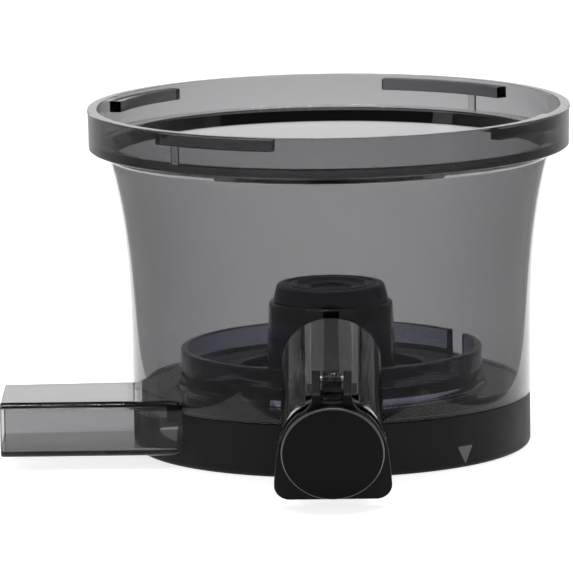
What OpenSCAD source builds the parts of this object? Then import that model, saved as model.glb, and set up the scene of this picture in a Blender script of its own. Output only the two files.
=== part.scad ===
// Juicing bowl of an upright slow juicer: a smoky clear drum with a bayonet
// collar, a dark chamber floor with hub and strainer ring, a black base skirt,
// a sloping juice spout with a hinged drip-free cap, and a flat pulp spout.
// Origin: bowl axis at the plane the skirt stands on. +Z up, -Y is the front
// (juice spout side), -X is the pulp spout side. Millimetres.

/* [Bowl shell] */
// Outer diameter of the lid collar
collar_d = 190; // [188:1:194]
// Height of the bowl from the resting plane to the rim
bowl_h = 134.5; // [132:0.5:138]
// Height of the collar band
collar_h = 15.5; // [14:0.5:16]
// Outer diameter of the drum's straight lower part
drum_d = 157.4; // [157:0.2:158]
// Wall thickness of the clear drum
wall = 3; // [2.6:0.1:3.2]
// Wall thickness of the collar
collar_wall = 4; // [3.5:0.1:4.4]

/* [Lid bayonet] */
// Angles at which the four lugs inside the collar start
lug_start = [38.4, 133.5, 224.2, 314.9];
// Angle each lug spans; the first is longer, so the lid fits one way only
lug_span = [37.1, 28.9, 32.3, 28.4];
// How far a lug stands in from the collar wall
lug_in = 4.6; // [4.2:0.1:4.8]

/* [Base skirt] */
// Outer diameter of the skirt
skirt_d = 156.8; // [156:0.2:157.4]
// Height of the skirt
skirt_h = 20.8; // [20.6:0.1:20.8]
// Radius of the register that centres on the motor base
register_r = 70; // [69.8:0.1:70.2]
// Depth of that register
register_h = 3.6; // [3:0.1:3.6]
// Number of bayonet grooves in the skirt's inner wall
groove_n = 3; // [3:1:3]

/* [Chamber floor] */
// Height of the juice trough floor
floor_z = 24.5; // [24.3:0.1:25]
// Outer radius of the strainer ring wall
ring_r = 59.5; // [59:0.1:60]
// Height of the top of the strainer ring wall
ring_top = 39.2; // [38.5:0.1:40]
// Height of the top face of the hub's lower tier
hub_z = 57; // [56.8:0.1:57.2]

/* [Hub fittings] */
// Bore radius of the shaft bush
bush_bore_r = 8; // [7.5:0.1:8.1]
// Outer radius of the shaft bush
bush_r = 10.8; // [10.6:0.1:10.8]
// Height of the top of the silicone hub packing
packing_top = 64; // [63.8:0.1:65]

/* [Juice spout] */
// Outer radius of the spout tube
spout_r = 19.5; // [19.2:0.1:19.6]
// Wall thickness of the spout tube
spout_wall = 2.5; // [2.2:0.1:2.8]
// Downward slope of the spout
spout_slope = 18; // [17:0.5:19]
// Length along the axis from the drum wall to the cap's front face
spout_len = 67.6; // [66:0.2:70]
// Height of the spout's axis at the drum wall
spout_z = 42.4; // [42.2:0.1:43]

/* [Spout cap] */
// Radius of the raised round face
cap_face_r = 19.5; // [19:0.1:19.6]
// Half width of the cap plate at its flat bottom
cap_half_w = 22.3; // [21.5:0.1:23]
// Radius of the hinge pin
pin_r = 1.25; // [1:0.05:1.5]
// Radial running clearance of the ears on the pin
pin_fit = 0.05; // [0.03:0.01:0.08]
// Width of one ear
ear_w = 3.2; // [2.8:0.1:3.4]
// Half of the gap between the ears
ear_gap = 4.3; // [4.1:0.1:4.6]

/* [Pulp spout] */
// Distance from the bowl axis to the open end
pulp_x = 129; // [124:1:132]
// Height of the spout's underside
pulp_z0 = 4.5; // [4.4:0.1:5]
// Height of the spout's top
pulp_z1 = 26; // [25.5:0.5:26.5]
// Distance of the front face from the bowl axis
pulp_front = 52.5; // [51:0.5:53]
// Corner radius of the spout's section
pulp_corner = 3.5; // [3.5:0.5:4.5]
// Wall thickness of the spout
pulp_wall = 2.5; // [2.2:0.1:2.7]

/* [Hidden] */
$fn = 96;

smoke = [0.36, 0.37, 0.39, 0.55];
navy = [0.10, 0.11, 0.16, 0.85];
black = [0.10, 0.10, 0.11];
silicone = [0.16, 0.16, 0.18];
steel = [0.75, 0.75, 0.77];

collar_r = collar_d / 2;
drum_r = drum_d / 2;
skirt_r = skirt_d / 2;
collar_z = bowl_h - collar_h;      // lower outer corner of the collar
flare_z0 = 30;                     // the drum is straight below this height
flare_z1 = 115.7;                  // and meets the collar's underside here
flare_w = 8.2;                     // by then it has widened by this much
shelf_z = 121.8;                   // ledge inside the collar
shell_z0 = 20.9;                   // lower edge of the clear drum

// Radius of the drum's outside at a height
function drum_out(z) = drum_r + (z <= flare_z0 ? 0
  : flare_w * pow((z - flare_z0) / (flare_z1 - flare_z0), 2.85));
// Points on an arc
function arc(c, r, a0, a1, n) = [for (i = [0:n])
  [c[0] + r * cos(a0 + (a1 - a0) * i / n), c[1] + r * sin(a0 + (a1 - a0) * i / n)]];

// Local frame of the juice spout: X across, Y square to the tube and upward,
// Z along the tube, outward
module along_spout() {
  translate([0, -drum_r, spout_z]) rotate([90 + spout_slope, 0, 0]) children();
}
tube_end = spout_len - 6.5;        // end face of the spout tube
hinge_u = 23;                      // hinge axis above the tube's axis
hinge_n = spout_len - 17;          // hinge axis along the tube
ear_r = 3.4;                       // rounding of the ears at the hinge

// A sector of a ring, from radius r0 to r1 and height z0 to z1
module sector(r0, r1, z0, z1, a, span) {
  rotate([0, 0, a]) rotate_extrude(angle = span)
    translate([r0, z0]) square([r1 - r0, z1 - z0]);
}

// ---------- clear drum ----------
module bowl_shell() {
  color(smoke) difference() {
    union() {
      rotate_extrude() polygon(concat(
        [[drum_r - wall, shell_z0], [drum_r, shell_z0]],
        [for (z = [flare_z0 : 7 : 107]) [drum_out(z), z]],
        [[drum_out(111.5), 111.5], [drum_out(flare_z1), flare_z1],
         [collar_r - 0.8, collar_z - 0.2], [collar_r, collar_z + 0.8],
         [collar_r, bowl_h - 0.6], [collar_r - 0.6, bowl_h],
         [collar_r - collar_wall + 0.6, bowl_h], [collar_r - collar_wall, bowl_h - 0.6],
         [collar_r - collar_wall, shelf_z + 0.8], [collar_r - collar_wall - 0.8, shelf_z],
         [drum_out(shelf_z) - wall + 0.4, shelf_z], [drum_out(shelf_z) - wall - 0.1, shelf_z - 0.5]],
        [for (z = [115.5 : -7 : 45]) [drum_out(z) - wall, z]],
        [[drum_r - wall, flare_z0]]));
      // locking lugs and, below two of them, a shallow stop rib for the lid's tab
      for (k = [0 : 3])
        sector(collar_r - collar_wall - lug_in, collar_r - collar_wall + 0.5,
          bowl_h - 5.7, bowl_h - 1.2, lug_start[k], lug_span[k]);
      for (a = [49.2, 229.2])
        sector(collar_r - collar_wall - 0.8, collar_r - collar_wall + 0.7,
          shelf_z - 0.5, bowl_h - 5.2, a, 2.2);
    }
    // seat of the juice spout
    along_spout() translate([0, 0, -20]) cylinder(r = spout_r + 0.05, h = 45);
  }
}

// ---------- chamber floor: juice trough and pulp floor; the ring seat and the hub stand in it ----------
chute_a = 222;                     // direction of the pulp outlet in the floor
ring_z = 28;                       // foot of the ring seat
hub_foot = 25.5;                   // radius of the hub where it stands in the floor
module at_chute() { rotate([0, 0, chute_a]) translate([49, 0, 0]) children(); }
module chamber_floor() {
  color(navy) difference() {
    union() {
      rotate_extrude() polygon(concat(
        [[75.4, 21.3], [75.4, floor_z + 0.8], [75.2, floor_z + 1], [74.6, floor_z + 1]],
        arc([73.6, floor_z + 1], 1, 0, -90, 4),
        [[ring_r + 3.4, floor_z]],
        arc([ring_r + 3.5, ring_z], ring_z - floor_z, -100, -180, 5),
        [[56.5, ring_z], [56.5, 29.6], [56.1, 30], [40, 30], [39, 29],
         [39, 26], [38, 25], [28, 25], [26.5, 25.6], [hub_foot + 0.02, 26.6],
         [hub_foot + 0.02, 22], [42, 22], [42, 27], [54.9, 27], [54.9, 21.3]]));
      // walls of the pulp outlet, down to the pulp spout
      at_chute() translate([-8, -10, 20.5]) cube([15.5, 20, 7]);
    }
    // pulp outlet
    at_chute() translate([-6, -8, 15]) cube([12, 16, 20]);
    // way from the trough into the juice spout
    along_spout() translate([0, 0, -12]) cylinder(r = spout_r - spout_wall, h = 40);
  }
}
// ring wall that the strainer basket stands round, with the notch for its key
module ring_seat() {
  color(navy) difference() {
    rotate([0, 0, 8]) rotate_extrude() polygon([[56.5, ring_z], [ring_r, ring_z],
      [ring_r, ring_top - 0.8], [ring_r - 0.8, ring_top], [57.3, ring_top], [56.5, ring_top - 0.8]]);
    rotate([0, 0, 22]) rotate_extrude(angle = 12.4) translate([55.9, 29.8]) square([4.5, 12]);
  }
}
// hub round the drive shaft, open below for the drive boss of the motor base
module shaft_hub() {
  color(navy) rotate_extrude() polygon([[hub_foot, 22], [hub_foot, 27.5],
    [24.6, hub_z - 0.9], [23.7, hub_z], [17.6, hub_z], [17.6, hub_z + 4],
    [bush_r + 0.02, hub_z + 4], [bush_r + 0.02, 48.5], [9.4, 48.5], [9.4, 46],
    [14, 46], [14, 51], [19.8, 51], [21, 49.8], [21.6, 22]]);
}

// ---------- black base skirt with the lock for the motor base ----------
module pulp_section(grow = 0) {
  // outer or inner form of the pulp spout: a flat tube that narrows to its end
  g = grow; c = pulp_corner + grow;
  intersection() {
    translate([-pulp_x - 5, 0, 0]) rotate([90, 0, 90]) linear_extrude(pulp_x + 5 - 24 + g)
      polygon(concat([[60, pulp_z0 - g], [60, pulp_z1 + g]],
        arc([-pulp_front + pulp_corner, pulp_z1 - pulp_corner], c, 90, 180, 6),
        arc([-pulp_front + pulp_corner, pulp_z0 + pulp_corner], c, 180, 270, 6)));
    translate([-76, -3.2, 0]) rotate([0, 0, 3.3]) translate([-70, 0, 0])
      rotate([90, 0, 90]) linear_extrude(150)
      polygon(concat([[-80, pulp_z1 + g], [-80, pulp_z0 - g]],
        arc([-pulp_corner, pulp_z0 + pulp_corner], c, -90, 0, 6),
        arc([-pulp_corner, pulp_z1 - pulp_corner], c, 0, 90, 6)));
  }
}
module base_skirt() {
  color(black) difference() {
    union() {
      rotate_extrude() polygon(concat(
        [[register_r, 0]],
        arc([skirt_r - 2, 2], 2, -90, 0, 4),
        [[skirt_r, skirt_h], [75.6, skirt_h], [75.6, 2.6], [72.6, 2.6], [72.6, 20.4],
         [68.2, 20.4], [68.2, register_h], [register_r, register_h]]));
      // ribs that hold the magnet
      sector(72.4, 75.8, 2.4, 18, 84.2, 1.6);
      sector(72.4, 75.8, 2.4, 18, 94.2, 1.6);
    }
    // bayonet grooves: entry and locking run
    for (k = [0 : groove_n - 1]) rotate([0, 0, 20 + 120 * k]) {
      rotate([0, 0, 0]) rotate_extrude(angle = 8) translate([66, register_h - 0.5]) square([4.8, 7.2]);
      rotate([0, 0, 7]) rotate_extrude(angle = 10) translate([66, 7.1]) square([4.6, 4]);
    }
    // passage of the pulp spout
    pulp_section(0.1);
    // recess of the alignment mark
    mark_form(0.02, skirt_r - 0.62, skirt_r + 1);
  }
}
module mark_form(grow, r0, r1) {
  rotate([0, 0, -49]) intersection() {
    difference() { cylinder(r = r1, h = 12); translate([0, 0, -1]) cylinder(r = r0, h = 14); }
    translate([60, 0, 0]) rotate([90, 0, 90]) linear_extrude(30)
      polygon([[-3.85 - grow, 8.6 + grow], [3.85 + grow, 8.6 + grow], [0, 1.6 - grow]]);
  }
}
module alignment_mark() { color([0.62, 0.63, 0.64]) mark_form(0, skirt_r - 0.6, skirt_r); }
module floor_gasket() {
  color(silicone) rotate_extrude() polygon([[68.9, 20.4], [71.9, 20.4], [71.9, 21.0],
    [71.2, 21.3], [69.6, 21.3], [68.9, 21.0]]);
}
module interlock_magnet() {
  color(steel) translate([0, 72.75, 8]) rotate([-90, 0, 0]) cylinder(r = 4, h = 2.7);
}
module magnet_cover() { color(black) sector(72.7, 75.5, 13, 17.6, 86.1, 7.8); }

// ---------- hub fittings ----------
module hub_packing() {
  color(silicone) rotate_extrude() polygon(concat(
    [[18, hub_z + 0.35], [22.7, hub_z + 0.35], [22.1, hub_z + 3.4], [21.4, packing_top - 2]],
    arc([19.2, packing_top - 2], 2, 10, 90, 5),
    [[16.2, packing_top], [14.6, packing_top - 0.5], [13.9, packing_top - 1.3],
     [bush_bore_r + 0.6, packing_top - 1.3], [bush_bore_r + 0.5, packing_top - 1.5],
     [bush_bore_r + 0.5, hub_z + 4.4], [18, hub_z + 4.4]]));
}
module shaft_bush() {
  color([0.2, 0.2, 0.22]) rotate_extrude() polygon([[bush_bore_r, 48.5], [bush_r - 0.4, 48.5],
    [bush_r, 48.9], [bush_r, hub_z + 4], [bush_bore_r, hub_z + 4]]);
}

// ---------- juice spout ----------
module juice_spout() {
  color(smoke) difference() {
    union() {
      along_spout() {
        translate([0, 0, -14]) cylinder(r = spout_r, h = 14 + tube_end);
        // thickened lip at the outlet
        translate([0, 0, tube_end - 3]) cylinder(r = spout_r + 0.8, h = 3);
        // pad and knuckle of the hinge
        translate([-10.5, 12, hinge_n - 5]) cube([21, 6.9, 10]);
        translate([-3.6, 0, 0]) rotate([90, 0, 90]) linear_extrude(7.2)
          polygon(concat([[12, hinge_n - 7], [18, hinge_n - 5.5]],
            [for (p = arc([hinge_u, hinge_n], 3.3, -150, 60, 10)) [p[0], p[1]]],
            [[18, hinge_n + 5]], [[12, hinge_n + 5]]));
      }
    }
    // bore of the tube
    along_spout() translate([0, 0, -20]) cylinder(r = spout_r - spout_wall, h = 100);
    // trimmed flush with the inside of the drum
    translate([0, 0, -1]) cylinder(r = drum_r - wall, h = 100);
    // hinge pin hole
    along_spout() translate([-20, hinge_u, hinge_n]) rotate([0, 90, 0]) cylinder(r = pin_r, h = 40);
  }
}

// ---------- hinged cap ----------
plate_n = spout_len - 5.5;         // back face of the cap plate
module cap_outline() {
  // bell shape: flat foot with round corners, sides that close in to the round
  // head, and a waisted neck up to the ears
  foot = -20.9; cr = 6; e = ear_gap + ear_w;
  right = concat(
    arc([cap_half_w - cr, foot + cr], cr, -90, 0, 6),
    [[21.6, -6], [20.8, 0]],
    arc([0, 0], 19.9, 15, 56, 7),
    arc([e + 4.6, 20.9], 4.2, 236, 180, 5),
    [[e, 22.8]]);
  polygon(concat(right, [[ear_gap, 22.8], [ear_gap, 20.6], [0, 20.2], [-ear_gap, 20.6], [-ear_gap, 22.8]],
    [for (i = [len(right) - 1 : -1 : 0]) [-right[i][0], right[i][1]]]));
}
module spout_cap() {
  e = ear_gap + ear_w;
  color(black) along_spout() difference() {
    union() {
      translate([0, 0, plate_n]) linear_extrude(2.6) cap_outline();
      // the two ears reach back over the tube's lip to the hinge
      for (x = [-e, ear_gap]) translate([x, 0, 0]) rotate([90, 0, 90]) linear_extrude(ear_w)
        polygon(concat(
          arc([hinge_u, hinge_n], ear_r, -40, -185, 9),
          [[20.5, hinge_n + 3.2], [20.5, plate_n - 0.4], [18.6, plate_n + 0.6], [18.6, plate_n + 2.6],
           [22.6, plate_n + 2.6], [23.4, plate_n + 2.1], [23.9, plate_n + 1]]));
    }
    // groove of the seal
    translate([0, 0, plate_n - 1]) difference() {
      cylinder(r = 19.05, h = 1.6);
      translate([0, 0, -1]) cylinder(r = 15.45, h = 4);
    }
    // hinge pin holes
    translate([-20, hinge_u, hinge_n]) rotate([0, 90, 0]) cylinder(r = pin_r + pin_fit, h = 40);
  }
}
module cap_face() {
  color([0.09, 0.09, 0.10]) along_spout() translate([0, 0, plate_n + 2.6])
    rotate_extrude() polygon([[0, 0], [cap_face_r, 0], [cap_face_r, 2.3], [cap_face_r - 0.6, 2.9], [0, 2.9]]);
}
module cap_seal() {
  color(silicone) along_spout() translate([0, 0, plate_n])
    rotate_extrude() polygon([[15.5, 0.6], [15.5, -0.2], [16.1, -0.7], [18.4, -0.7], [19, -0.2], [19, 0.6]]);
}
module cap_hinge_pin() {
  color(steel) along_spout() translate([-7.4, hinge_u, hinge_n]) rotate([0, 90, 0])
    cylinder(r = pin_r, h = 14.8);
}

// ---------- pulp spout with its channel under the floor ----------
gate_x = -42; gate_y = -35; gate_pin_x = -28; gate_pin_z = 6.4;
module pulp_spout() {
  color(smoke) difference() {
    union() {
      difference() {
        intersection() {
          pulp_section(0);
          translate([-pulp_x, -80, 0]) cube([200, 80, 40]);
        }
        // outside the drum it has its full height, inside it passes under the floor
        translate([0, 0, 20.3]) cylinder(r = drum_r + 0.1, h = 30);
        translate([-58, -70, 0]) cube([60, 70, 9]);
        // and is narrower, to leave room for the top of the motor base
        translate([-58, -19.5, 0]) cube([60, 30, 30]);
      }
      // hinge lugs of the gate
      for (y = [-46.6, -26]) translate([gate_pin_x - 3, y, 4.4]) cube([6, 2.6, 6]);
    }
    // bore of the outer part
    difference() {
      intersection() { pulp_section(-pulp_wall); translate([-pulp_x - 9, -80, 0]) cube([100, 80, 40]); }
      translate([0, 0, 17.9]) cylinder(r = drum_r + 2.6, h = 30);
      translate([-60.5, -70, 0]) cube([60, 70, 50]);
    }
    // channel inside the skirt
    translate([-62, -pulp_front + pulp_wall, 11.4]) cube([35.5, 27, 6.5]);
    // inlet under the floor's outlet
    at_chute() translate([-6, -8, 12]) cube([12, 16, 20]);
    // opening that the gate's plug closes
    translate([gate_x, gate_y, 5]) cylinder(r = 7, h = 10);
    // pin holes
    translate([gate_pin_x, -60, gate_pin_z]) rotate([-90, 0, 0]) cylinder(r = 1.25, h = 50);
  }
}
module gate_arm() {
  color(black) difference() {
    union() {
      translate([-55, gate_y - 8, 5.4]) cube([27, 16, 2.2]);
      translate([gate_pin_x, gate_y - 8, gate_pin_z]) rotate([-90, 0, 0]) cylinder(r = 2.1, h = 16);
    }
    translate([gate_pin_x, -60, gate_pin_z]) rotate([-90, 0, 0]) cylinder(r = 1.3, h = 50);
    translate([gate_x, gate_y, 0]) cylinder(r = 2.5, h = 20);
  }
}
module gate_plug() {
  color(silicone) translate([gate_x, gate_y, 0]) rotate_extrude() polygon([[0, 4.5], [3.6, 4.5],
    [3.6, 5.4], [2.5, 5.4], [2.5, 7.6], [8.4, 7.6], [8.4, 8.5], [6.4, 8.6], [5.2, 11.3], [0, 11.3]]);
}
module gate_pin() {
  color(steel) translate([gate_pin_x, -46.6, gate_pin_z]) rotate([-90, 0, 0]) cylinder(r = 1.25, h = 23.2);
}

bowl_shell();
chamber_floor();
ring_seat();
shaft_hub();
base_skirt();
floor_gasket();
alignment_mark();
hub_packing();
shaft_bush();
juice_spout();
spout_cap();
cap_face();
cap_seal();
cap_hinge_pin();
pulp_spout();
gate_arm();
gate_plug();
gate_pin();
interlock_magnet();
magnet_cover();
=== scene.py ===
import math

import bmesh
import bpy
from mathutils import Matrix, Vector


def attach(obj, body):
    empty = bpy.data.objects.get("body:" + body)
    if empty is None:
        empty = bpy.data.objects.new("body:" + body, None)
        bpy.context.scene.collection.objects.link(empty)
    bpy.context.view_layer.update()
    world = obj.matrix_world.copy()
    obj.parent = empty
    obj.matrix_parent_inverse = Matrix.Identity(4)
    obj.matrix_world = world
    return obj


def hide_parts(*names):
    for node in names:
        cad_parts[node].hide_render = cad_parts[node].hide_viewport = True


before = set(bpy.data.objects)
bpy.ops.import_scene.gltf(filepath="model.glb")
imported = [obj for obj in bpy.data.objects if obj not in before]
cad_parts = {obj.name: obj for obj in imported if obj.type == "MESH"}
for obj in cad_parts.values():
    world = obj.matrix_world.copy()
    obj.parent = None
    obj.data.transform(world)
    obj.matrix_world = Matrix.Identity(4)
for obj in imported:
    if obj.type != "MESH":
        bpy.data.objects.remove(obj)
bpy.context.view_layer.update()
scene = bpy.context.scene
MM = 0.001
pi = math.pi

# ------------------------------------------------------------------ dimensions, mm (as in the CAD model)
COLLAR_R, BOWL_H, COLLAR_H = 95.0, 134.5, 15.5
DRUM_R, WALL, CWALL = 78.7, 3.0, 4.0
SKIRT_R, SKIRT_H = 78.4, 20.8
SHELF_Z = 121.8
LUGS, LUG_IN = ((38.4, 37.1), (133.5, 28.9), (224.2, 32.3), (314.9, 28.4)), 4.6
FLOOR_Z, RING_R, RING_TOP, HUB_Z = 24.5, 59.5, 39.2, 57.0
SP_R, SP_WALL, SP_SLOPE, SP_LEN, SP_Z = 19.5, 2.5, 18.0, 67.6, 42.4
TUBE_END = SP_LEN - 6.5
HINGE_U, HINGE_N = 23.0, SP_LEN - 17.0
PLATE_N = SP_LEN - 5.5
EAR_GAP, EAR_W = 4.3, 3.2
PX, PZ0, PZ1, PF, PC, PW = 129.0, 4.5, 26.0, 52.5, 3.5, 2.5


def drum_out(z):
    return DRUM_R + (0.0 if z <= 30 else 8.2 * ((z - 30) / 85.7) ** 2.85)


# ------------------------------------------------------------------ mesh helpers
def rounded(pts, n=5):
    """Rounds the corners of a polygon. Each point is (x, y) or (x, y, radius)."""
    out = []
    m = len(pts)
    for i in range(m):
        p = Vector(pts[i][:2])
        r = pts[i][2] if len(pts[i]) > 2 else 0.0
        a = Vector(pts[i - 1][:2]) - p
        b = Vector(pts[(i + 1) % m][:2]) - p
        la, lb = a.length, b.length
        if r <= 0 or la < 1e-6 or lb < 1e-6:
            out.append((p.x, p.y))
            continue
        a /= la
        b /= lb
        ang = math.acos(max(-1, min(1, a.dot(b))))
        if ang > pi - 0.03 or ang < 0.03:
            out.append((p.x, p.y))
            continue
        t = min(r / math.tan(ang / 2), 0.47 * la, 0.47 * lb)
        rr = t * math.tan(ang / 2)
        c = p + (a + b).normalized() * (rr / math.sin(ang / 2))
        v0 = p + a * t - c
        v1 = p + b * t - c
        full = math.atan2(v0.x * v1.y - v0.y * v1.x, v0.dot(v1))
        for k in range(n + 1):
            w = full * k / n
            q = Vector((v0.x * math.cos(w) - v0.y * math.sin(w), v0.x * math.sin(w) + v0.y * math.cos(w)))
            out.append((c.x + q.x, c.y + q.y))
    return out


def make(name, bm, mat=None):
    bmesh.ops.recalc_face_normals(bm, faces=bm.faces)
    me = bpy.data.meshes.new(name)
    bm.to_mesh(me)
    bm.free()
    ob = bpy.data.objects.new(name, me)
    scene.collection.objects.link(ob)
    if mat:
        me.materials.append(mat)
    return ob


def lathe(name, prof, seg=192, mat=None, a0=0.0, a1=360.0):
    """Solid of revolution about Z of a closed profile of (r, z) in mm. A sector gets end caps."""
    bm = bmesh.new()
    whole = abs(a1 - a0) >= 359.99
    cols = seg if whole else seg + 1
    grid = []
    for i in range(cols):
        w = math.radians(a0 + (a1 - a0) * i / seg)
        c, s = math.cos(w), math.sin(w)
        grid.append([bm.verts.new((r * MM * c, r * MM * s, z * MM)) for r, z in prof])
    m = len(prof)
    for i in range(seg):
        A, B = grid[i], grid[(i + 1) % cols]
        for j in range(m):
            k = (j + 1) % m
            bm.faces.new((A[j], B[j], B[k], A[k]))
    if not whole:
        bm.faces.new(grid[0])
        bm.faces.new(list(reversed(grid[-1])))
    bmesh.ops.remove_doubles(bm, verts=bm.verts, dist=1e-7)
    bmesh.ops.dissolve_degenerate(bm, edges=bm.edges, dist=1e-8)
    return make(name, bm, mat)


def prism(name, outline, z0, z1, mat=None):
    """Straight prism of a 2D outline in mm, between two heights."""
    bm = bmesh.new()
    lo = [bm.verts.new((x * MM, y * MM, z0 * MM)) for x, y in outline]
    hi = [bm.verts.new((x * MM, y * MM, z1 * MM)) for x, y in outline]
    bm.faces.new(list(reversed(lo)))
    bm.faces.new(hi)
    n = len(outline)
    for i in range(n):
        j = (i + 1) % n
        bm.faces.new((lo[i], lo[j], hi[j], hi[i]))
    return make(name, bm, mat)


def loft(name, rings, mat=None):
    """Closed solid through a list of rings, each a list of (x, y, z) in mm."""
    bm = bmesh.new()
    vs = [[bm.verts.new((x * MM, y * MM, z * MM)) for x, y, z in ring] for ring in rings]
    n = len(rings[0])
    for A, B in zip(vs, vs[1:]):
        for i in range(n):
            j = (i + 1) % n
            bm.faces.new((A[i], A[j], B[j], B[i]))
    bm.faces.new(list(reversed(vs[0])))
    bm.faces.new(vs[-1])
    return make(name, bm, mat)


def cyl(name, r, h, seg=96, r2=None):
    """Cylinder from z = 0 to h, mm."""
    r2 = r if r2 is None else r2
    return loft(name, [[(q * math.cos(2 * pi * i / seg), q * math.sin(2 * pi * i / seg), z) for i in range(seg)]
                       for q, z in ((r, 0), (r2, h))])


def box(name, lo, hi):
    return prism(name, [(lo[0], lo[1]), (hi[0], lo[1]), (hi[0], hi[1]), (lo[0], hi[1])], lo[2], hi[2])


def put(ob, m):
    ob.data.transform(m)
    return ob


def T(x, y, z):
    return Matrix.Translation(Vector((x, y, z)) * MM)


def R(deg, ax):
    return Matrix.Rotation(math.radians(deg), 4, ax)


# local frame of the juice spout: X across, Y up and square to the tube, Z outward along it
SPOUT = T(0, -DRUM_R, SP_Z) @ R(90 + SP_SLOPE, "X")


def apply_mods(ob):
    dg = bpy.context.evaluated_depsgraph_get()
    me = bpy.data.meshes.new_from_object(ob.evaluated_get(dg), preserve_all_data_layers=True, depsgraph=dg)
    old = ob.data
    ob.modifiers.clear()
    ob.data = me
    bpy.data.meshes.remove(old)
    return ob


def boolean(ob, others, op="DIFFERENCE"):
    for o in others:
        md = ob.modifiers.new("b", "BOOLEAN")
        md.operation = op
        md.object = o
        md.solver = "EXACT"
        bpy.context.view_layer.update()
        apply_mods(ob)
        bpy.data.objects.remove(o)
    return ob


def bevel(ob, w, seg=3, ang=35):
    md = ob.modifiers.new("bevel", "BEVEL")
    md.width = w * MM
    md.segments = seg
    md.limit_method = "ANGLE"
    md.angle_limit = math.radians(ang)
    md.use_clamp_overlap = True
    md.harden_normals = False
    bpy.context.view_layer.update()
    return apply_mods(ob)


def finish_mesh(ob, ang=32, weight=True):
    """Smooth shading with sharp edges kept, and face-weighted normals so flats stay flat."""
    me = ob.data
    bm = bmesh.new()
    bm.from_mesh(me)
    bmesh.ops.remove_doubles(bm, verts=bm.verts, dist=2e-7)
    loose = [v for v in bm.verts if not v.link_faces]
    bmesh.ops.delete(bm, geom=loose, context="VERTS")
    bmesh.ops.recalc_face_normals(bm, faces=bm.faces)
    bm.to_mesh(me)
    bm.free()
    me.shade_smooth()
    me.set_sharp_from_angle(angle=math.radians(ang))
    if weight:
        md = ob.modifiers.new("wn", "WEIGHTED_NORMAL")
        md.mode = "FACE_AREA"
        md.weight = 50
        md.keep_sharp = True
        bpy.context.view_layer.update()
        apply_mods(ob)
    return ob


# ------------------------------------------------------------------ materials
def base_mat(name):
    m = bpy.data.materials.new(name)
    m.use_nodes = True
    nt = m.node_tree
    for n in list(nt.nodes):
        if n.type not in ("BSDF_PRINCIPLED", "OUTPUT_MATERIAL"):
            nt.nodes.remove(n)
    return m, nt, next(n for n in nt.nodes if n.type == "BSDF_PRINCIPLED"), next(n for n in nt.nodes if n.type == "OUTPUT_MATERIAL")


def noise(nt, scale, detail=2.0, rough=0.5, coords="Object"):
    tc = nt.nodes.new("ShaderNodeTexCoord")
    nz = nt.nodes.new("ShaderNodeTexNoise")
    nz.inputs["Scale"].default_value = scale
    nz.inputs["Detail"].default_value = detail
    nz.inputs["Roughness"].default_value = rough
    nt.links.new(tc.outputs[coords], nz.inputs["Vector"])
    return nz


def ranged(nt, src, lo, hi, a=0.3, b=0.7):
    mr = nt.nodes.new("ShaderNodeMapRange")
    mr.inputs["From Min"].default_value = a
    mr.inputs["From Max"].default_value = b
    mr.inputs["To Min"].default_value = lo
    mr.inputs["To Max"].default_value = hi
    nt.links.new(src, mr.inputs["Value"])
    return mr.outputs["Result"]


def ramp(nt, src, stops):
    cr = nt.nodes.new("ShaderNodeValToRGB")
    e = cr.color_ramp.elements
    e[0].position, e[0].color = stops[0][0], (*stops[0][1], 1)
    e[1].position, e[1].color = stops[-1][0], (*stops[-1][1], 1)
    for p, c in stops[1:-1]:
        q = e.new(p)
        q.color = (*c, 1)
    nt.links.new(src, cr.inputs["Fac"])
    return cr.outputs["Color"]


def bump(nt, bs, src, strength, dist):
    b = nt.nodes.new("ShaderNodeBump")
    b.inputs["Strength"].default_value = strength
    b.inputs["Distance"].default_value = dist
    nt.links.new(src, b.inputs["Height"])
    nt.links.new(b.outputs["Normal"], bs.inputs["Normal"])
    return b


def smoke_mat(name, dens, tint, rough=(0.012, 0.03), ior=1.52, spec=0.45):
    """Polished smoke-tinted clear plastic: the tint is absorbed in its thickness."""
    m, nt, bs, out = base_mat(name)
    bs.inputs["Base Color"].default_value = (1, 1, 1, 1)
    bs.inputs["Transmission Weight"].default_value = 1.0
    bs.inputs["IOR"].default_value = ior
    bs.inputs["Specular Tint"].default_value = (spec, spec, spec, 1)
    ab = nt.nodes.new("ShaderNodeVolumeAbsorption")
    ab.inputs["Color"].default_value = (*tint, 1)
    ab.inputs["Density"].default_value = dens
    nt.links.new(ab.outputs["Volume"], out.inputs["Volume"])
    # fine handling haze and the faint waviness of a moulded wall
    nt.links.new(ranged(nt, noise(nt, 90, 3).outputs["Fac"], *rough), bs.inputs["Roughness"])
    bump(nt, bs, noise(nt, 24, 1).outputs["Fac"], 0.04, 0.0006)
    return m


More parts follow.
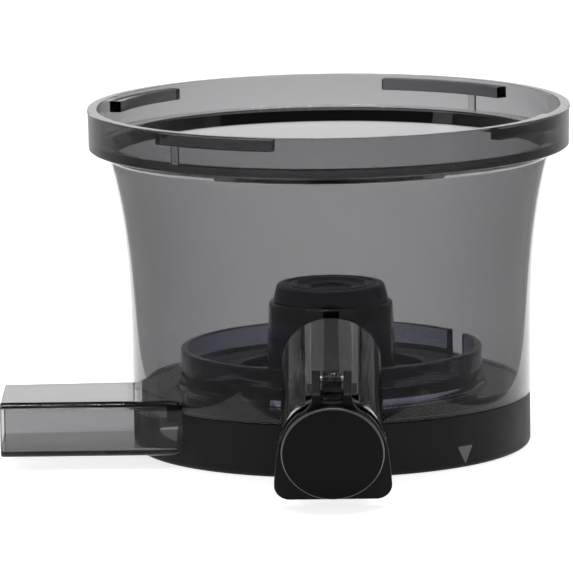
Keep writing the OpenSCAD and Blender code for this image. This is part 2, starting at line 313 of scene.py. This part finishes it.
def plastic_mat(name, lo, hi, rough, grain, strength, dist=0.00008, spec=0.5, wear=None, ior=1.5):
    """Moulded opaque plastic with a spark-eroded grain and slight colour variation."""
    m, nt, bs, out = base_mat(name)
    big = noise(nt, 18, 4)
    col = ramp(nt, big.outputs["Fac"], [(0.35, lo), (0.68, hi)])
    if wear:
        geo = nt.nodes.new("ShaderNodeNewGeometry")
        edge = ranged(nt, geo.outputs["Pointiness"], 0.0, 0.35, 0.505, 0.56)
        mix = nt.nodes.new("ShaderNodeMix")
        mix.data_type = "RGBA"
        nt.links.new(edge, mix.inputs["Factor"])
        nt.links.new(col, mix.inputs[6])
        mix.inputs[7].default_value = (*wear, 1)
        col = mix.outputs[2]
    nt.links.new(col, bs.inputs["Base Color"])
    nt.links.new(ranged(nt, noise(nt, 60, 4).outputs["Fac"], rough[0], rough[1]), bs.inputs["Roughness"])
    bs.inputs["Specular IOR Level"].default_value = spec
    bs.inputs["IOR"].default_value = ior
    vor = noise(nt, grain, 2, 0.6)
    bump(nt, bs, vor.outputs["Fac"], strength, dist)
    return m


def steel_mat(name, base=0.62, rough=(0.18, 0.3)):
    m, nt, bs, out = base_mat(name)
    bs.inputs["Metallic"].default_value = 1.0
    nz = noise(nt, 300, 3)
    nt.links.new(ramp(nt, nz.outputs["Fac"], [(0.3, (base * 0.9,) * 3), (0.7, (base, base, base * 1.02))]), bs.inputs["Base Color"])
    nt.links.new(ranged(nt, nz.outputs["Fac"], *rough), bs.inputs["Roughness"])
    bump(nt, bs, noise(nt, 900, 2).outputs["Fac"], 0.15, 0.00004)
    return m


TINT = (0.10, 0.10, 0.115)
M_SHELL = smoke_mat("smoke_drum", 345.0, TINT, (0.003, 0.012))
# the spout is the drum's smoke plastic; this much denser, bluer copy is painted shade that darkens what shows through
# the tube
M_SPOUT = smoke_mat("smoke_spout_painted_shade", 800.0, (0.11, 0.11, 0.17), (0.05, 0.08))
M_PULP = smoke_mat("smoke_pulp", 365.0, TINT, (0.004, 0.014))
# the chamber floor, ring and hub are the drum's smoke plastic; this denser, bluer copy is painted shade for the light
# the black skirt keeps from below
M_FLOOR = smoke_mat("smoke_floor_painted_shade", 430.0, (0.05, 0.07, 0.24), (0.02, 0.05))
M_SKIRT = plastic_mat("black_satin", (0.006, 0.006, 0.0065), (0.009, 0.009, 0.0095), (0.46, 0.56), 2600, 0.25, spec=0.45, wear=(0.012, 0.012, 0.013), ior=1.24)
M_CAP = plastic_mat("black_cap", (0.004, 0.004, 0.0044), (0.006, 0.006, 0.0064), (0.36, 0.46), 3000, 0.22, spec=0.3, wear=(0.012, 0.012, 0.012), ior=1.22)
M_FACE = plastic_mat("black_face", (0.0035, 0.0035, 0.0038), (0.005, 0.005, 0.0053), (0.40, 0.48), 3200, 0.2, spec=0.2, wear=(0.03, 0.03, 0.03), ior=1.2)
M_EDGE = plastic_mat("black_face_edge", (0.05, 0.05, 0.052), (0.07, 0.07, 0.072), (0.26, 0.34), 3200, 0.1, spec=0.5)
M_SIL = plastic_mat("silicone_dark", (0.010, 0.011, 0.014), (0.014, 0.015, 0.019), (0.42, 0.55), 1500, 0.12, spec=0.3)
M_PACK = plastic_mat("silicone_packing", (0.010, 0.011, 0.018), (0.015, 0.016, 0.028), (0.24, 0.34), 1500, 0.08, spec=0.3, ior=1.26)
M_BUSH = plastic_mat("bush_acetal", (0.02, 0.02, 0.022), (0.03, 0.03, 0.032), (0.3, 0.4), 1800, 0.1)
M_MARK = plastic_mat("mark_grey", (0.076, 0.078, 0.080), (0.094, 0.096, 0.098), (0.42, 0.5), 2600, 0.15)
M_STEEL = steel_mat("pin_steel")
M_MAGNET = steel_mat("magnet_nickel", 0.7, (0.1, 0.2))


# ------------------------------------------------------------------ the clear drum
def build_shell():
    prof = [(DRUM_R - WALL, 20.9, 0.35), (DRUM_R, 20.9, 0.35)]
    out = [(drum_out(z), z) for z in [30 + i * 2.2 for i in range(39)]]          # to 113.6
    prof += [(drum_out(z), z) for z in (25.0,)] + out
    prof += [(drum_out(115.7), 115.7, 1.6), (COLLAR_R - 0.2, 118.9, 1.2), (COLLAR_R, BOWL_H, 0.55),
             (COLLAR_R - CWALL, BOWL_H, 0.5), (COLLAR_R - CWALL, SHELF_Z, 0.9), (86.0, SHELF_Z, 0.8)]
    prof += [(drum_out(z) - WALL, z) for z in [113.6 - i * 2.2 for i in range(39)]]
    prof += [(DRUM_R - WALL, 25.0)]
    ob = lathe("drum_shell", rounded(prof, 6), 256, M_SHELL)
    for a, span in LUGS:
        lug = lathe("lug", rounded([(COLLAR_R - CWALL - LUG_IN, BOWL_H - 5.7), (COLLAR_R - CWALL + 1.0, BOWL_H - 5.7),
                                    (COLLAR_R - CWALL + 1.0, BOWL_H - 1.2), (COLLAR_R - CWALL - LUG_IN, BOWL_H - 1.2)], 1),
                    30, None, a, a + span)
        bevel(lug, 0.35, 3, 40)
        boolean(ob, [lug], "UNION")
    # shallow stop ribs for the lid's tabs
    for a in (49.2, 229.2):
        rib = lathe("rib", [(COLLAR_R - CWALL - 0.8, SHELF_Z - 0.6), (COLLAR_R - CWALL + 1.2, SHELF_Z - 0.6),
                            (COLLAR_R - CWALL + 1.2, BOWL_H - 5.2), (COLLAR_R - CWALL - 0.8, BOWL_H - 5.2)],
                    4, None, a, a + 2.2)
        bevel(rib, 0.3, 3, 40)
        boolean(ob, [rib], "UNION")
    # the juice leaves through a round hole where the spout stands on the wall
    hole = put(cyl("hole", SP_R - SP_WALL, 60, 128), SPOUT @ T(0, 0, -30))
    boolean(ob, [hole])
    finish_mesh(ob, 30)
    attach(ob, "bowl")
    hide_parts("bowl_shell")
    return ob


# ------------------------------------------------------------------ chamber floor with ring and hub
def at_chute():
    return R(222, "Z") @ T(49, 0, 0)


def build_floor():
    f = FLOOR_Z
    prof = [(75.4, 21.3, 0.4), (75.4, f + 1, 0.35), (74.5, f + 1, 0.3), (74.4, f, 0.8), (59.5, f, 3.0),
            (RING_R, RING_TOP, 0.8), (56.5, RING_TOP, 0.8), (56.5, 30, 1.6), (39, 30, 1.2), (39, 25, 1.5), (25.7, 25, 2.5),
            (24.5, HUB_Z, 1.2), (17.6, HUB_Z, 0.5), (17.6, HUB_Z + 4, 0.6), (10.82, HUB_Z + 4, 0.2), (10.82, 48.5, 0.1), (9.4, 48.5, 0.1),
            (9.4, 46, 0.3), (14, 46, 1.0), (14, 51, 1.0), (21, 51, 2.2), (21.6, 22, 0.8), (42, 22, 1.0), (42, 27, 1.0),
            (56.5, 27, 1.0), (56.5, 21.3, 0.5)]
    ob = lathe("chamber_floor_fine", rounded(prof, 6), 224, M_FLOOR)
    walls = put(box("w", (-8, -10, 20.5), (7.5, 10, 27.6)), at_chute())
    boolean(ob, [walls], "UNION")
    out = put(box("o", (-6, -8, 15), (6, 8, 35)), at_chute())
    bevel(out, 1.2, 3)
    notch = lathe("n", [(55.9, 29.8), (60.4, 29.8), (60.4, 42), (55.9, 42)], 10, None, 22, 34.4)
    bevel(notch, 0.7, 2, 40)
    way = put(cyl("way", SP_R - SP_WALL, 40, 96), SPOUT @ T(0, 0, -12))
    boolean(ob, [out, notch, way])
    finish_mesh(ob, 30)
    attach(ob, "bowl")
    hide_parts("chamber_floor", "ring_seat", "shaft_hub")
    return ob


# ------------------------------------------------------------------ skirt
def tube_ring(x, g):
    """Section of the pulp spout at x, grown by g, as a rounded rectangle in Y and Z."""
    back = -3.2 + (x + 76) * math.tan(math.radians(3.3)) + g / math.cos(math.radians(3.3))
    pts = rounded([(-PF - g, PZ0 - g, PC + g), (back, PZ0 - g, PC + g), (back, PZ1 + g, PC + g), (-PF - g, PZ1 + g, PC + g)], 8)
    return [(x, y, z) for y, z in pts]


def tube_solid(name, x0, x1, g, n=12):
    return loft(name, [tube_ring(x0 + (x1 - x0) * i / n, g) for i in range(n + 1)])


def build_skirt():
    prof = [(70, 0, 0.5), (SKIRT_R, 0, 2.0), (SKIRT_R, SKIRT_H, 0.4), (75.6, SKIRT_H, 0.3), (75.6, 2.6, 0.6), (72.6, 2.6, 0.6),
            (72.6, 20.4, 0.3), (68.2, 20.4, 0.3), (68.2, 3.6, 0.3), (70, 3.6)]
    ob = lathe("base_skirt_fine", rounded(prof, 5), 224, M_SKIRT)
    ribs = [lathe("r", [(72.4, 2.4), (75.8, 2.4), (75.8, 18), (72.4, 18)], 3, None, a, a + 1.6) for a in (84.2, 94.2)]
    boolean(ob, ribs, "UNION")
    cuts = []
    for k in range(3):
        a = 20 + 120 * k
        cuts.append(lathe("g", [(66, 3.1), (70.8, 3.1), (70.8, 10.3), (66, 10.3)], 6, None, a, a + 8))
        cuts.append(lathe("g", [(66, 7.1), (70.6, 7.1), (70.6, 11.1), (66, 11.1)], 8, None, a + 7, a + 17))
    cuts.append(tube_solid("p", -90, -20, 0.1))
    boolean(ob, cuts)
    # recess of the alignment mark
    boolean(ob, [mark_solid("m", 0.03, SKIRT_R - 0.63, SKIRT_R + 1)])
    finish_mesh(ob, 30)
    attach(ob, "bowl")
    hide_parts("base_skirt")


def mark_solid(name, g, r0, r1):
    tri = [(-3.85 - g, 8.6 + g, 0.35), (0, 1.6 - 2 * g, 0.25), (3.85 + g, 8.6 + g, 0.35)]
    pts = rounded(tri, 4)
    bm = bmesh.new()
    # a curved plate: the triangle is stood across the skirt and cut to a thin ring, so that it follows the skirt
    pr = prism(name, [(x, z) for x, z in pts], 60, 90)
    put(pr, R(-49, "Z") @ Matrix(((0, 0, 1, 0), (1, 0, 0, 0), (0, 1, 0, 0), (0, 0, 0, 1))))
    bm.free()
    ring = lathe("ring", [(r0, -2), (r1, -2), (r1, 14), (r0, 14)], 256)
    md = pr.modifiers.new("i", "BOOLEAN")
    md.operation = "INTERSECT"
    md.object = ring
    md.solver = "EXACT"
    bpy.context.view_layer.update()
    apply_mods(pr)
    bpy.data.objects.remove(ring)
    return pr


def build_mark():
    ob = mark_solid("alignment_mark_fine", 0.0, SKIRT_R - 0.6, SKIRT_R)
    ob.data.materials.clear()
    ob.data.materials.append(M_MARK)
    finish_mesh(ob, 25)
    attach(ob, "bowl")
    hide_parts("alignment_mark")


# ------------------------------------------------------------------ hub fittings
def build_hub_fittings():
    z, pt = HUB_Z, 64.0
    prof = [(18, z + 0.35, 0.2), (22.7, z + 0.35, 0.5), (22.0, z + 3.6, 1.0), (21.2, pt, 1.5), (18.6, pt, 0.35), (18.2, pt - 0.7, 0.3), (16.2, pt - 0.7, 0.3), (15.8, pt, 0.35), (14.6, pt, 0.6), (13.9, pt - 1.3, 0.5),
            (8.5, pt - 1.3, 0.3), (8.5, z + 4.4, 0.2), (18, z + 4.4, 0.3)]
    ob = lathe("hub_packing_fine", rounded(prof, 7), 160, M_PACK)
    finish_mesh(ob, 30)
    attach(ob, "packing")
    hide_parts("hub_packing")
    bu = lathe("shaft_bush_fine", rounded([(8.0, 48.5, 0.4), (10.8, 48.5, 0.4), (10.8, z + 4, 0.3), (8.0, z + 4, 0.5)], 5), 128, M_BUSH)
    finish_mesh(bu, 30)
    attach(bu, "bowl")
    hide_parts("shaft_bush")


# ------------------------------------------------------------------ juice spout
def build_juice_spout():
    # lathe along the tube: plain tube with a thicker rounded lip
    prof = [(17.0, -40, 0), (SP_R, -40, 0), (SP_R, TUBE_END - 3.4, 0.5), (SP_R + 0.8, TUBE_END - 3.0, 0.5), (SP_R + 0.8, TUBE_END, 0.6), (17.0, TUBE_END, 0.6)]
    ob = lathe("juice_spout_fine", rounded(prof, 5), 192, M_SPOUT)
    pad = prism("pad", rounded([(-10.5, 12, 0), (10.5, 12, 0), (10.5, 18.9, 1.2), (-10.5, 18.9, 1.2)], 4), HINGE_N - 5, HINGE_N + 5)
    bevel(pad, 0.7, 3, 40)
    kn = [(12, HINGE_N - 7), (18, HINGE_N - 5.5)]
    kn += [(HINGE_U + 3.3 * math.cos(math.radians(-150 - 150 * i / 16 + 0)), HINGE_N - 3.3 * math.sin(math.radians(-150 - 150 * i / 16)) * -1) for i in range(0)]
    arcp = []
    for i in range(25):
        w = math.radians(-150 + 210 * i / 24)
        arcp.append((HINGE_U + 3.3 * math.cos(w), HINGE_N + 3.3 * math.sin(w)))
    kn += arcp + [(18, HINGE_N + 5), (12, HINGE_N + 5)]
    # the outline lies in (u, n); stand it across X
    k = prism("kn", kn, -3.6, 3.6)
    put(k, Matrix(((0, 0, 1, 0), (1, 0, 0, 0), (0, 1, 0, 0), (0, 0, 0, 1))))
    bevel(k, 0.5, 3, 40)
    grooves = []
    for i in range(5):
        gx = -2.4 + 1.2 * i
        ring = lathe("gv", [(3.0, -0.13), (3.9, -0.34), (3.9, 0.34), (3.0, 0.13)], 64)
        grooves.append(put(ring, T(gx, HINGE_U, HINGE_N) @ R(90, "Y")))
    boolean(k, grooves)
    boolean(ob, [pad, k], "UNION")
    # clear the bore again and drill the hinge
    boolean(ob, [put(cyl("c", 17.0, 160, 192), T(0, 0, -60))])
    boolean(ob, [put(cyl("p", 1.25, 40, 48), T(-20, HINGE_U, HINGE_N) @ R(90, "Y"))])
    put(ob, SPOUT)
    # ends on the outside of the drum
    trim = lathe("t", [(0.0001, -5)] + [(drum_out(z) + 0.03, z) for z in [-5] + [30 + 3 * i for i in range(25)]] + [(0.0001, 102)], 256)
    boolean(ob, [trim])
    finish_mesh(ob, 32)
    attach(ob, "bowl")
    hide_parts("juice_spout")


# ------------------------------------------------------------------ hinged cap
def arc(cx, cy, r, a0, a1, n):
    return [(cx + r * math.cos(math.radians(a0 + (a1 - a0) * i / n)), cy + r * math.sin(math.radians(a0 + (a1 - a0) * i / n))) for i in range(n + 1)]


def build_cap():
    foot, cr, e = -20.9, 6.0, EAR_GAP + EAR_W
    right = arc(22.3 - cr, foot + cr, cr, -90, 0, 14) + [(22.05, -11), (21.6, -6), (21.25, -3), (20.8, 0), (20.2, 3)]
    right += arc(0, 0, 19.9, 15, 49, 18) + arc(e + 8.2, 22.8, 8.2, 247, 180, 14)
    left = [(-x, y) for x, y in reversed(right)]
    mid = [(EAR_GAP, 22.8), (EAR_GAP, 20.75), (3.2, 20.45), (1.6, 20.25), (0, 20.2), (-1.6, 20.25), (-3.2, 20.45), (-EAR_GAP, 20.75), (-EAR_GAP, 22.8)]
    ob = prism("spout_cap_fine", right + mid + left, PLATE_N, PLATE_N + 2.6)
    bevel(ob, 0.55, 3, 50)
    for x in (-e, EAR_GAP):
        pts = [(HINGE_U + 3.4 * math.cos(math.radians(-40 - 145 * i / 18)), HINGE_N + 3.4 * math.sin(math.radians(-40 - 145 * i / 18))) for i in range(19)]
        pts += [(20.5, HINGE_N + 3.2), (20.5, PLATE_N - 0.4), (19.6, PLATE_N + 0.5), (19.6, PLATE_N + 2.6), (22.6, PLATE_N + 2.6), (23.4, PLATE_N + 2.1), (23.9, PLATE_N + 1)]
        ear = prism("ear", [(u, n) for u, n in pts], x, x + EAR_W)
        put(ear, Matrix(((0, 0, 1, 0), (1, 0, 0, 0), (0, 1, 0, 0), (0, 0, 0, 1))))
        bevel(ear, 0.4, 3, 40)
        boolean(ob, [ear], "UNION")
    groove = lathe("gr", [(15.45, PLATE_N - 1), (19.05, PLATE_N - 1), (19.05, PLATE_N + 0.6), (15.45, PLATE_N + 0.6)], 128)
    pin = put(cyl("p", 1.3, 40, 48), T(-20, HINGE_U, HINGE_N) @ R(90, "Y"))
    boolean(ob, [groove, pin])
    put(ob, SPOUT)
    ob.data.materials.clear()
    ob.data.materials.append(M_CAP)
    finish_mesh(ob, 32)
    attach(ob, "cap")
    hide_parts("spout_cap")

    n0 = PLATE_N + 2.6
    face = lathe("cap_face_fine", rounded([(0.0001, n0), (19.5, n0, 0.1), (19.5, n0 + 2.9, 0.76), (0.0001, n0 + 2.9)], 5), 192, M_FACE)
    bm = bmesh.new()
    bm.from_mesh(face.data)
    bmesh.ops.remove_doubles(bm, verts=bm.verts, dist=1e-5)
    bmesh.ops.dissolve_limit(bm, angle_limit=math.radians(0.5), verts=bm.verts, edges=bm.edges)
    face.data.materials.append(M_EDGE)
    for fc in bm.faces:
        if abs(fc.normal.z) < 0.97 and fc.calc_center_median().z > (n0 + 2.1) * MM:
            fc.material_index = 1
    bm.to_mesh(face.data)
    bm.free()
    put(face, SPOUT)
    finish_mesh(face, 30)
    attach(face, "cap")
    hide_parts("cap_face")

    seal = lathe("cap_seal_fine", rounded([(15.5, PLATE_N + 0.6, 0.1), (15.5, PLATE_N - 0.7, 0.6), (19, PLATE_N - 0.7, 0.6), (19, PLATE_N + 0.6, 0.1)], 5), 160, M_SIL)
    put(seal, SPOUT)
    finish_mesh(seal, 30)
    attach(seal, "cap")
    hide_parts("cap_seal")

    pin = put(cyl("cap_hinge_pin_fine", 1.25, 14.8, 48), SPOUT @ T(-7.4, HINGE_U, HINGE_N) @ R(90, "Y"))
    pin.data.materials.append(M_STEEL)
    bevel(pin, 0.25, 3, 50)
    finish_mesh(pin, 35)
    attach(pin, "bowl")
    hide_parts("cap_hinge_pin")


# ------------------------------------------------------------------ pulp spout
def build_pulp():
    ob = tube_solid("pulp_spout_fine", -PX, -24, 0.0, 24)
    bevel(ob, 0.7, 3, 60)
    boolean(ob, [put(cyl("c", DRUM_R + 0.1, 30, 256), T(0, 0, 20.3)), box("b", (-58, -70, -1), (2, 0, 9)), box("d", (-58, -19.5, -1), (2, 10, 30))])
    for y in (-46.6, -26):
        boolean(ob, [box("l", (-31, y, 4.4), (-25, y + 2.6, 10.4))], "UNION")
    inner = tube_solid("i", -PX - 6, -60.5, -PW, 20)
    boolean(inner, [put(cyl("c", DRUM_R + 2.6, 30, 256), T(0, 0, 17.9))])
    chan = box("ch", (-62, -50, 11.4), (-26.5, -23, 17.9))
    inlet = put(box("in", (-6, -8, 12), (6, 8, 32)), at_chute())
    hole = put(cyl("h", 7, 10, 64), T(-42, -35, 5))
    pin = put(cyl("p", 1.25, 50, 32), T(-28, -60, 6.4) @ R(-90, "X"))
    boolean(ob, [inner, chan, inlet, hole, pin])
    ob.data.materials.clear()
    ob.data.materials.append(M_PULP)
    finish_mesh(ob, 32)
    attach(ob, "bowl")
    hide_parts("pulp_spout")


build_shell()
build_floor()
build_skirt()
build_mark()
build_hub_fittings()
build_juice_spout()
build_cap()
build_pulp()

# pieces whose CAD shape is right keep it, with a finished material
for node, mat in (("gate_arm", M_CAP), ("gate_plug", M_SIL), ("gate_pin", M_STEEL), ("interlock_magnet", M_MAGNET),
                  ("magnet_cover", M_SKIRT), ("floor_gasket", M_SIL)):
    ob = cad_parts[node]
    ob.data.materials.clear()
    ob.data.materials.append(mat)


# ------------------------------------------------------------------ floor, light and camera
def stage():
    m, nt, bs, out = base_mat("floor_white")
    nt.links.new(ramp(nt, noise(nt, 3, 2).outputs["Fac"], [(0.3, (0.49, 0.49, 0.49)), (0.7, (0.51, 0.51, 0.51))]), bs.inputs["Base Color"])
    bs.inputs["Roughness"].default_value = 0.9
    bs.inputs["Specular IOR Level"].default_value = 0.1
    bs.inputs["Emission Color"].default_value = (1, 1, 1, 1)
    bs.inputs["Emission Strength"].default_value = 0.79
    # a wide flat floor, and behind it a white sweep that only reflections and refractions see,
    # so that the object can be looked at from the back as well
    flat = [(-14.0, 0.0), (-3.0, 0.0), (-1.0, 0.0), (0.0, 0.0), (1.0, 0.0), (2.5, 0.0), (14.0, 0.0)]
    sweep = [(2.5 + 1.5 * math.sin(i / 16 * pi / 2), 1.5 - 1.5 * math.cos(i / 16 * pi / 2) + 0.001) for i in range(17)] + [(4.0, 5.0)]
    for name, prof, half in (("floor", flat, 14.0), ("sweep", sweep, 5.0)):
        bm = bmesh.new()
        rows = [[bm.verts.new((x, y, z - 0.0001)) for x in (-half, half)] for y, z in prof]
        for a, b in zip(rows, rows[1:]):
            bm.faces.new((a[0], a[1], b[1], b[0]))
        ob = make(name, bm, m)
        ob.data.shade_smooth()
        ob.visible_camera = name == "floor"
    # black cards on the floor round the set: only reflections and refractions see them,
    # so the clear plastic gets the dark edges of bright-field lighting
    k, nt, bs, out = base_mat("card_black")
    bs.inputs["Base Color"].default_value = (0.42, 0.42, 0.42, 1)
    bs.inputs["Roughness"].default_value = 0.9
    bs.inputs["Specular IOR Level"].default_value = 0.0
    # on the floor in front and at both sides, then standing at both sides and high at the back
    cards = [((-3.0, -3.0), (3.0, -3.0), (3.0, CARD_Y), (-3.0, CARD_Y))]
    for q in (1, -1):
        cards.append(((q * CARD_X, CARD_Y), (q * 3.0, CARD_Y), (q * 3.0, 2.4), (q * (CARD_X + 0.14 * 2.4), 2.4), (q * CARD_X, 0.0)))
    cards = [[(x, y, 0.0012) for x, y in c] for c in cards]
    for q in (1, -1):
        cards.append([(q * 0.85, -0.2, 0.0012), (q * 0.85, 4.0, 0.0012), (q * 0.85, 4.0, 1.5), (q * 0.85, -0.2, 1.2)])
    cards.append([(-0.45, 2.45, 0.8), (0.45, 2.45, 0.8), (0.45, 2.45, 3.2), (-0.45, 2.45, 3.2)])
    k2, nt, bs, out = base_mat("card_deep_black")
    bs.inputs["Base Color"].default_value = (0.015, 0.015, 0.015, 1)
    bs.inputs["Roughness"].default_value = 0.9
    bs.inputs["Specular IOR Level"].default_value = 0.0
    for i, pts in enumerate(cards):
        bm = bmesh.new()
        bm.faces.new([bm.verts.new(c) for c in pts])
        card = make("card_%d" % i, bm, k2 if i == len(cards) - 1 else k)
        card.visible_camera = False
        card.visible_diffuse = False
        card.visible_shadow = False


CARD_X, CARD_Y = 0.18, -0.175


def area(name, loc, target, size, power, spread=None):
    ld = bpy.data.lights.new(name, "AREA")
    ld.shape = "RECTANGLE"
    ld.size, ld.size_y = size
    ld.energy = power
    if spread:
        ld.spread = math.radians(spread)
    lo = bpy.data.objects.new(name, ld)
    lo.location = loc
    d = Vector(target) - Vector(loc)
    lo.rotation_euler = d.to_track_quat("-Z", "Y").to_euler()
    lo.visible_camera = False
    scene.collection.objects.link(lo)
    return lo


stage()
w = bpy.data.worlds.new("studio")
scene.world = w
w.use_nodes = True
bg = next(n for n in w.node_tree.nodes if n.type == "BACKGROUND")
bg.inputs["Color"].default_value = (1, 1, 1, 1)
bg.inputs["Strength"].default_value = 0.24
area("back_wash", (0, 1.5, 2.2), (0, 1.2, 0.0), (3.2, 2.4), 26).visible_glossy = False
area("top_soft", (0.0, 0.15, 1.7), (0, 0.1, 0.0), (2.0, 1.6), 4)
area("top_strip", (0.0, -0.02, 1.3), (0, 0, 0.0), (1.2, 0.12), 11)
for q in (1, -1):
    area("strip_%d" % q, (0.58 * q, 1.0, 0.5), (0, 0, 0.06), (0.42, 0.7), 2.0)
area("key_left", (-1.5, -0.5, 0.8), (0, 0, 0.07), (0.5, 1.5), 4)
area("fill_right", (1.6, -0.5, 0.8), (0, 0, 0.07), (0.45, 1.4), 1.2)

cd = bpy.data.cameras.new("camera")
cam = bpy.data.objects.new("camera", cd)
scene.collection.objects.link(cam)
cd.sensor_width = 36.0
cd.lens = 6916.0 * 36.0 / 573.0
cd.clip_start, cd.clip_end = 0.05, 30
yaw, pitch, roll = math.radians(-0.370), math.radians(9.272), math.radians(-0.781)
fwd = Vector((math.sin(yaw) * math.cos(pitch), math.cos(yaw) * math.cos(pitch), -math.sin(pitch)))
rt = Vector((math.cos(yaw), -math.sin(yaw), 0))
up = rt.cross(fwd)
r2 = rt * math.cos(roll) + up * math.sin(roll)
u2 = -rt * math.sin(roll) + up * math.cos(roll)
rot = Matrix((r2, u2, -fwd)).transposed().to_4x4()
cam.matrix_world = Matrix.Translation(Vector((0, -2.693, 0.502))) @ rot
scene.camera = cam

scene.view_settings.view_transform = "Standard"
scene.view_settings.look = "None"
scene.cycles.max_bounces = 40
scene.cycles.transmission_bounces = 40
scene.cycles.glossy_bounces = 12
scene.cycles.diffuse_bounces = 4
scene.cycles.transparent_max_bounces = 16
scene.cycles.volume_bounces = 0
scene.cycles.caustics_reflective = True
scene.cycles.caustics_refractive = True
scene.cycles.blur_glossy = 0.3
scene.cycles.sample_clamp_indirect = 12.0
